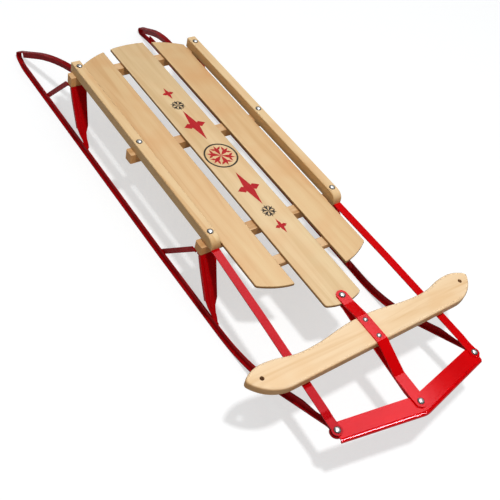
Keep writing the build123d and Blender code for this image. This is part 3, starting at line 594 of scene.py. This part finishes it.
def runnerSidePath(r):
    # middle of the flange as (y, z) from the arm's end to the tab, in three stretches
    half = r["flangeThick"] / 2
    climb = math.radians(r["loopClimb"])
    ringY = r["loopTipY"] - half - r["loopBend"]
    ringZ = half + r["loopBend"]
    cornerY = ringY + r["loopBend"] * math.tan((math.pi - climb) / 2)
    archCornerY = cornerY - (r["armHigh"] - half) / math.tan(climb)
    archStartY = archCornerY - r["loopArch"] * math.tan(climb / 2)
    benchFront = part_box("bench_rear")[0].y / mm
    arm = [(benchFront, r["armHigh"])]
    archMiddle = (archStartY, r["armHigh"] - r["loopArch"])
    arm += arcPoints(archMiddle, r["loopArch"], math.pi / 2, math.pi / 2 - climb, r["archSteps"])
    ring = arcPoints((ringY, ringZ), r["loopBend"], math.pi / 2 - climb, -math.pi / 2, r["ringSteps"])
    toeClimb = math.radians(r["toeClimb"])
    ground = straightPoints((ringY, half), (r["liftY"], half), r["groundSteps"])
    toeMiddle = (r["liftY"], half + r["toeCurve"])
    toe = arcPoints(toeMiddle, r["toeCurve"], -math.pi / 2, -math.pi / 2 - toeClimb, r["toeSteps"])
    toeCornerY = r["liftY"] - r["toeCurve"] * math.tan(toeClimb / 2)
    tabCornerY = toeCornerY - (r["tabHigh"] - half) / math.tan(toeClimb)
    reach = r["tabBend"] * math.tan(toeClimb / 2)
    bendMiddle = (tabCornerY - reach, r["tabHigh"] - r["tabBend"])
    tab = arcPoints(bendMiddle, r["tabBend"], math.pi / 2 - toeClimb, math.pi / 2, r["tabSteps"])
    slope = straightPoints(toe[-1], tab[0], r["slopeSteps"])
    return arm, ring, ground + toe + slope + tab + [(r["tabY"], r["tabHigh"])], (cornerY, half, climb)


def makeRunner(sideName, side):
    r = runnerSizes
    arm, ring, front, (cornerY, half, climb) = runnerSidePath(r)

    def armPoint(y, z):
        return (side * between(y, r["armY"], r["armX"]) * mm, y * mm, z * mm)

    def groundPoint(y, z):
        return (side * between(y, r["lineY"], r["lineX"]) * mm, y * mm, z * mm)

    ringUpper = [armPoint(y, z) for y, z in ring[:r["ringUpper"]]]
    ringLower = [groundPoint(y, z) for y, z in ring[r["ringUpper"]:]]
    whole = [armPoint(y, z) for y, z in arm[:-1]] + ringUpper + ringLower
    whole += [groundPoint(y, z) for y, z in front]
    flange = grow("flange", pathMesh("flange", whole), stripTree, {
        "Wide": r["flangeWide"] * mm, "Low": -r["flangeThick"] / 2 * mm, "High": r["flangeThick"] / 2 * mm,
        "Level": False, "Material": finishes["runner"]})
    ribValues = {
        "Wide": r["ribThick"] * mm, "Low": r["flangeThick"] * r["ribLow"] * mm,
        "High": (r["flangeThick"] / 2 + r["ribTall"]) * mm, "Level": False, "Material": finishes["runner"]}
    startY = cornerY - r["armRibStartLong"] * math.cos(climb)
    archMiddle = (arm[1][0], arm[1][1] - r["loopArch"])
    archRise = math.sqrt(r["loopArch"] ** 2 - (r["armRibEnd"] - archMiddle[0]) ** 2)
    ribArm = [(r["armRibEnd"], archMiddle[1] + archRise)]
    ribArm += [(y, z) for y, z in arm if r["armRibEnd"] < y < startY]
    ribArm.append((startY, half + r["armRibStartLong"] * math.sin(climb)))
    armRib = grow("armRib", pathMesh("armRib", [armPoint(y, z) for y, z in ribArm]), stripTree, ribValues)
    ribTop = r["tabHigh"] - r["ribBelowTab"]
    ground = [(r["groundRibEnd"], half)] + [(y, z) for y, z in front if y < r["groundRibEnd"] and z < ribTop]
    fadeEnds = [r["tabY"] + r["fadeBeforeTab"], r["fadeY"]]
    rises = [between(y, fadeEnds, [r["fadeLeft"], 1.0]) for y, z in ground]
    ground = [groundPoint(y, z) for y, z in ground]
    groundRib = grow("groundRib", pathMesh("groundRib", ground, rises), stripTree, ribValues)
    tab = linkObject("tab", ringMesh(
        r["tabHole"] * mm, r["tabOuter"] * mm, r["flangeThick"] * mm, r["holeSteps"]))
    tab.data.transform(Matrix.Translation((side * r["tabX"] * mm, r["tabY"] * mm, r["tabHigh"] * mm)))
    tab.data.materials.append(finishes["runner"])
    runner = joinAll("runnerSteel_" + sideName, [flange, armRib, groundRib, tab])
    smoothByAngle(runner, r["sharpFrom"])
    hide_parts("runner_" + sideName, "runner_front_" + sideName)
    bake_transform(runner)


def ringMesh(inner, outer, thick, count):
    # flat ring round the origin, closed all round
    mesh = bmesh.new()
    rings = []
    for radius, z in ((outer, -thick / 2), (outer, thick / 2), (inner, thick / 2), (inner, -thick / 2)):
        rings.append([mesh.verts.new((x, y, z)) for x, y in circlePoints((0.0, 0.0), radius, count)])
    for a, b in zip(rings, rings[1:] + rings[:1]):
        for i in range(count):
            mesh.faces.new((a[i], a[(i + 1) % count], b[(i + 1) % count], b[i]))
    bmesh.ops.recalc_face_normals(mesh, faces=mesh.faces)
    result = bpy.data.meshes.new("ring")
    mesh.to_mesh(result)
    mesh.free()
    return result


for sideName, side in (("left", 1), ("right", -1)):
    makeRunner(sideName, side)
print("runners made")


# Slats: birch boards with a shared round rear edge and shaped fronts, edges routed over

slatSizes = {
    "rearMiddleY": 186.5, "rearRadius": 220.0, "rearSteps": 16, "frontSteps": 20, "edge": 1.6, "edgeSteps": 3,
    "sideWider": 4.5, "sideFrontInner": -307.5, "sideFrontOuter": -282.5, "sideCorner": 8.0, "sideBow": 4.5,
    "centreCorner": 9.0, "centreBow": 8.4, "sharpFrom": 50,
    "cornerRound": 0.8, "cornerSteps": 8}    # the corner's radius as a share of its reach


def roundedCorner(before, corner, after, radius, count):
    # points of an arc that joins two straight runs at a corner
    a = (Vector(before) - Vector(corner)).normalized()
    b = (Vector(after) - Vector(corner)).normalized()
    half = a.angle(b) / 2
    reach = radius / math.tan(half)
    centre = Vector(corner) + (a + b).normalized() * (radius / math.sin(half))
    first = Vector(corner) + a * reach - centre
    last = Vector(corner) + b * reach - centre
    points = []
    for i in range(count):
        t = i / (count - 1)
        direction = first.normalized().slerp(last.normalized(), t)
        points.append(tuple(centre + direction * radius))
    return points


def slatOutline(inner, outer, frontInner, frontOuter, bow, corners):
    # outline in millimetres from the rear inner corner round to the front and back
    s = slatSizes

    def rearY(x):
        return s["rearMiddleY"] + math.sqrt(s["rearRadius"] ** 2 - x * x)

    def frontPoint(t):
        x = inner + (outer - inner) * t
        return (x, frontInner + (frontOuter - frontInner) * t - bow * 4 * t * (1 - t))

    rearXs = [inner + (outer - inner) * i / s["rearSteps"] for i in range(s["rearSteps"] + 1)]
    rear = [(x, rearY(x)) for x in rearXs]
    front = [frontPoint(1 - i / s["frontSteps"]) for i in range(s["frontSteps"] + 1)]
    innerCorner, outerCorner = corners
    near = min(range(len(front)), key=lambda i: abs(outer - front[i][0] - outerCorner))
    points = rear + roundedCorner(
        rear[-1], front[0], front[near], outerCorner * s["cornerRound"], s["cornerSteps"]) + front[near:-1]
    if innerCorner:
        keep = [p for p in points if not (p[1] < frontInner + bow and p[0] < inner + innerCorner)]
        points = keep + roundedCorner(
            keep[-1], front[-1], rear[0], innerCorner * s["cornerRound"], s["cornerSteps"])
    else:
        points = points + [front[-1]]
    return points


def makeSlat(node, finish, outline, mirrored):
    low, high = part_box(node)
    if mirrored:
        outline = [(-x, y) for x, y in reversed(outline)]
    start = pathMesh(node, [(x * mm, y * mm, 0.0) for x, y in outline], closed=True)
    slat = grow(node.replace("deck_slat", "slatBoard"), start, plankTree, {
        "Base": low.z, "Thick": high.z - low.z, "Material": finishes[finish]})
    finishEdges(slat, slatSizes["edge"] * mm, slatSizes["edgeSteps"])
    smoothByAngle(slat, slatSizes["sharpFrom"])
    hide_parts(node)
    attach(slat, "root")


def makeDeck():
    s = slatSizes
    centreLow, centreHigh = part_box("deck_slat_centre")
    centreHalf = centreHigh.x / mm
    centreSide = centreLow.y / mm + s["centreBow"]
    centreOutline = slatOutline(-centreHalf, centreHalf, centreSide, centreSide, s["centreBow"],
                                (s["centreCorner"], s["centreCorner"]))
    makeSlat("deck_slat_centre", "centre", centreOutline, False)
    leftLow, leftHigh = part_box("deck_slat_left")
    sideOutline = slatOutline(leftLow.x / mm, leftHigh.x / mm + s["sideWider"], s["sideFrontInner"],
                              s["sideFrontOuter"], s["sideBow"], (0, s["sideCorner"]))
    makeSlat("deck_slat_left", "slat", sideOutline, False)
    makeSlat("deck_slat_right", "slat", sideOutline, True)


makeDeck()
print("slats made")


# Bolts, rivets and screws

boltSizes = {"Rim Radius": 6.0, "Rim Tall": 0.8, "Dome Radius": 4.6, "Dome Tall": 1.6, "Shank Radius": 3.0,
             "Nut Radius": 5.5, "Nut Tall": 4.0, "Nut Sides": 6, "Turn": (0.0, 0.0, 0.0)}
rivetSizes = dict(boltSizes, **{"Rim Radius": 4.6, "Rim Tall": 0.3, "Dome Radius": 3.5, "Dome Tall": 1.7,
                                "Shank Radius": 2.5, "Nut Radius": 3.9, "Nut Tall": 1.2, "Nut Sides": 24})
screwSizes = dict(boltSizes, **{"Rim Radius": 5.0, "Rim Tall": 0.3, "Dome Radius": 4.9, "Dome Tall": 1.7,
                                "Shank Radius": 2.5, "Nut Radius": 1.0, "Nut Tall": 0.5, "Nut Sides": 12,
                                "Turn": (math.pi, 0.0, 0.0)})
headEdges = {"edge": 0.25, "edgeSteps": 2, "sharpFrom": 40}


def centresOf(node):
    # the middle of each loose solid of a CAD node, with its lowest and highest point
    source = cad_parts[node].data
    work = bmesh.new()
    work.from_mesh(source)
    bmesh.ops.remove_doubles(work, verts=work.verts, dist=0.001 * mm)
    left = set(work.verts)
    found = []
    while left:
        group = [left.pop()]
        for vert in group:
            for edge in vert.link_edges:
                other = edge.other_vert(vert)
                if other in left:
                    left.remove(other)
                    group.append(other)
        xs = [v.co.x for v in group]
        ys = [v.co.y for v in group]
        zs = [v.co.z for v in group]
        found.append(((min(xs) + max(xs)) / 2, (min(ys) + max(ys)) / 2, min(zs), max(zs)))
    work.free()
    return sorted(found)


def makeFasteners(name, node, sizes, body, headDown=False):
    # one fastener in the place of each solid of the node, as long as that solid
    values = {key: value if key in ("Nut Sides", "Turn") else value * mm for key, value in sizes.items()}
    values["Material"] = finishes["zinc"]
    values["Rim Shade Material"] = finishes["zincRimShaded"]
    headTall = (sizes["Rim Tall"] + sizes["Dome Tall"]) * mm
    made = []
    for x, y, low, high in centresOf(node):
        seat = low + headTall if headDown else high - headTall
        shankEnd = high if headDown else low
        values["Grip"] = abs(seat - shankEnd) - values["Nut Tall"]
        made.append(grow(node, pathMesh(node, [(x, y, seat)]), boltTree, values))
    fasteners = joinAll(name, made)
    finishEdges(fasteners, headEdges["edge"] * mm, headEdges["edgeSteps"])
    smoothByAngle(fasteners, headEdges["sharpFrom"])
    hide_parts(node)
    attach(fasteners, body)


makeFasteners("railBolts", "rail_bolts", boltSizes, "root")
makeFasteners("pivotBolt", "pivot_bolt", boltSizes, "root")
makeFasteners("bumperBolts", "bumper_bolts", boltSizes, "front_bumper")
makeFasteners("barRivets", "bar_rivets", rivetSizes, "steering")
makeFasteners("loopScrews", "loop_screws", screwSizes, "root", headDown=True)
print("fasteners made")


# Printing on the middle slat: snow crystals in a ring, with lozenges fore and aft

printSizes = {
    "thick": 0.12, "sink": 0.05, "middleY": 20.0, "ringRadius": 33.0, "ringWide": 3.4, "ringSteps": 96,
    "starStep": 98.0, "smallStep": 164.0, "endStep": 205.0}
bigCrystal = {
    "Arms": 6, "Inner": 0.0, "Outer": 29.0, "Wide": 9.0, "Twig Place": 15.0, "Twig Long": 15.0,
    "Twig Wide": 5.5, "Twig Turn": math.radians(55), "Start": math.pi / 2,
    "Thick": printSizes["thick"] + printSizes["sink"]}
smallCrystal = dict(bigCrystal, **{
    "Outer": 16.0, "Wide": 5.0, "Twig Place": 8.0, "Twig Long": 8.0, "Twig Wide": 3.2})
longStar = dict(bigCrystal, **{
    "Arms": 1, "Inner": -47.0, "Outer": 47.0, "Wide": 19.0, "Twig Place": 0.0, "Twig Long": 25.0,
    "Twig Wide": 17.0, "Twig Turn": math.pi / 2})
endStar = dict(longStar, **{"Inner": -19.0, "Outer": 19.0, "Wide": 10.0, "Twig Long": 13.0, "Twig Wide": 9.0})


def makeDeckPrint():
    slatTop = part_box("deck_slat_centre")[1].z
    p = printSizes

    def starsOn(name, finish, sizes, places):
        values = {k: (v if k in ("Arms", "Twig Turn", "Start") else v * mm) for k, v in sizes.items()}
        values["Material"] = finishes[finish]
        start = pathMesh(name, [(0.0, y * mm, slatTop - p["sink"] * mm) for y in places])
        return grow(name, start, crystalTree, values)

    def foreAndAft(step):
        return [p["middleY"] + step, p["middleY"] - step]

    ring = circlePoints((0.0, p["middleY"]), p["ringRadius"], p["ringSteps"])
    ringPath = pathMesh("ringLine", [(x * mm, y * mm, slatTop) for x, y in ring + ring[:1]])
    deckPrint = joinAll("deckPrint", [
        starsOn("bigCrystal", "redInk", bigCrystal, [p["middleY"]]),
        grow("ringLine", ringPath, stripTree, {
            "Wide": p["ringWide"] * mm, "Low": -p["sink"] * mm, "High": p["thick"] * mm, "Level": True,
            "Material": finishes["darkInk"]}),
        starsOn("smallCrystals", "darkInk", smallCrystal, foreAndAft(p["smallStep"])),
        starsOn("longStars", "redInk", longStar, foreAndAft(p["starStep"])),
        starsOn("endStars", "redInk", endStar, foreAndAft(p["endStep"])),
    ])
    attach(deckPrint, "root")


makeDeckPrint()
print("printing made")


# CAD pieces that keep their shape get their finish

finishByNode = {
    "rail": ["side_rail_left", "side_rail_right"],
    "bench": ["bench_rear", "bench_middle", "bench_front", "front_cleat"],
    "bar": ["steering_bar"],
    # the knees take the red enamel with painted shade
    "knee": ["knee_front_left", "knee_front_right", "knee_rear_left", "knee_rear_right"],
    "red": ["steering_arm_upper", "steering_arm_lower", "bumper", "side_strap_left"],
    # the right strap takes the red enamel with painted shade; the left one keeps the plain red
    "strap": ["side_strap_right"],
    "runner": ["brace_front_left", "brace_front_right", "brace_rear_left", "brace_rear_right"],
}
for finish, names in finishByNode.items():
    for name in names:
        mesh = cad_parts[name].data
        mesh.materials.clear()
        mesh.materials.append(finishes[finish])
print("finishes set")


# Floor, light and camera

stageSizes = {
    "floorHalf": 6.0, "floorSeen": 0.54, "floorGrey": 0.51, "floorTint": (0.975, 1.0, 1.01),
    "floorWhite": "#FFFFFF",
    "sky": 0.42, "skyInGloss": 0.03, "skyWhite": "#FFFFFF",
    "lampPlace": (-0.17, -0.6, 1.95), "lampRadius": 0.085, "lampPower": 23.5,
    "boxes": [
        # name, place, the point it faces, size, brightness, spread in degrees, the one node it lights
        ("softboxLeft", (1.27, 0.8, 2.5), (1.27, 0.8, 0.0), (1.3, 2.4), 4.8, 180.0, None),
        ("softboxFront", (0.63, -1.8, 1.37), (-0.08, -0.58, 0.1), (0.5, 0.55), 6.5, 40.0, "bumper"),
    ]}


def makeFloor():
    half = stageSizes["floorHalf"]
    mesh = bpy.data.meshes.new("floor")
    corners = [(-half, -half, 0), (half, -half, 0), (half, half, 0), (-half, half, 0)]
    mesh.from_pydata(corners, [], [(0, 1, 2, 3)])
    floor = linkObject("floor", mesh)
    material, tree, shader = newMaterial("paperSweepWhite")
    # the camera sees a white sheet whose shadows stay pale, and other rays a plain grey one
    grey = tuple(stageSizes["floorGrey"] * tint for tint in stageSizes["floorTint"])
    setInputs(tree, shader, {"Base Color": grey + (1.0,), "Roughness": 1.0})
    glow = addNode(tree, "ShaderNodeEmission", inputs={
        "Color": linear(stageSizes["floorWhite"]), "Strength": stageSizes["floorSeen"]})
    lit = addNode(tree, "ShaderNodeAddShader", inputs={0: shader, 1: glow})
    rays = addNode(tree, "ShaderNodeLightPath").outputs
    pick = addNode(tree, "ShaderNodeMixShader", inputs={0: rays["Is Camera Ray"], 1: shader, 2: lit})
    setInputs(tree, tree.nodes["Material Output"], {"Surface": pick})
    mesh.materials.append(material)


def makeSky():
    # even pale light from all round, which glossy pieces hardly mirror
    world = bpy.data.worlds.new("studio")
    world.use_nodes = True
    tree = world.node_tree
    rays = addNode(tree, "ShaderNodeLightPath").outputs
    strength = addNode(tree, "ShaderNodeMapRange", inputs={
        "Value": rays["Is Glossy Ray"], "To Min": stageSizes["sky"], "To Max": stageSizes["skyInGloss"]})
    setInputs(tree, tree.nodes["Background"], {"Color": linear(stageSizes["skyWhite"]), "Strength": strength})
    scene.world = world


def makeLamp():
    # one lamp close above the front end, whose light doesn't fade toward the rear
    lamp = bpy.data.lights.new("lamp", "POINT")
    lamp.energy = stageSizes["lampPower"]
    lamp.shadow_soft_size = stageSizes["lampRadius"]
    lamp.use_nodes = True
    tree = lamp.node_tree
    even = addNode(tree, "ShaderNodeLightFalloff", inputs={"Strength": 1.0}).outputs
    setInputs(tree, tree.nodes["Emission"], {"Strength": even["Constant"]})
    holder = bpy.data.objects.new("lamp", lamp)
    holder.location = stageSizes["lampPlace"]
    scene.collection.objects.link(holder)


def makeSoftboxes():
    # softboxes over the sled's left side and in front of it, seen only as a gleam in glossy faces
    for name, place, aim, size, bright, spread, only in stageSizes["boxes"]:
        box = bpy.data.lights.new(name, "AREA")
        box.shape = "RECTANGLE"
        box.size, box.size_y = size
        box.energy = bright * math.pi * size[0] * size[1]
        box.spread = math.radians(spread)
        holder = bpy.data.objects.new(name, box)
        holder.location = place
        holder.rotation_euler = (Vector(aim) - Vector(place)).to_track_quat("-Z", "Y").to_euler()
        holder.visible_diffuse = False
        holder.visible_camera = False
        scene.collection.objects.link(holder)
        if only:
            lit = bpy.data.collections.new(name + "Lights")
            lit.objects.link(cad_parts[only])
            holder.light_linking.receiver_collection = lit


# from a camera fit to the object's corners in the photograph; right, up and back are its axes in the frame
cameraSizes = {
    "lens": 56.66, "sensorWide": 36.0, "seesTo": 100.0, "place": (-0.7824, -0.8643, 1.1418),
    "right": (0.80767, -0.55664, 0.19448), "up": (0.3132, 0.6845, 0.6583),
    "back": (-0.49956, -0.47078, 0.72719)}


def makeCamera():
    c = cameraSizes
    camera = bpy.data.cameras.new("camera")
    camera.lens = c["lens"]
    camera.sensor_width = c["sensorWide"]
    camera.clip_end = c["seesTo"]
    holder = bpy.data.objects.new("camera", camera)
    columns = ((*c["right"], 0.0), (*c["up"], 0.0), (*c["back"], 0.0), (*c["place"], 1.0))
    holder.matrix_world = Matrix(columns).transposed()
    scene.collection.objects.link(holder)
    scene.camera = holder


makeFloor()
makeSky()
makeLamp()
makeSoftboxes()
makeCamera()
scene.view_settings.view_transform = "Standard"
print("stage made")
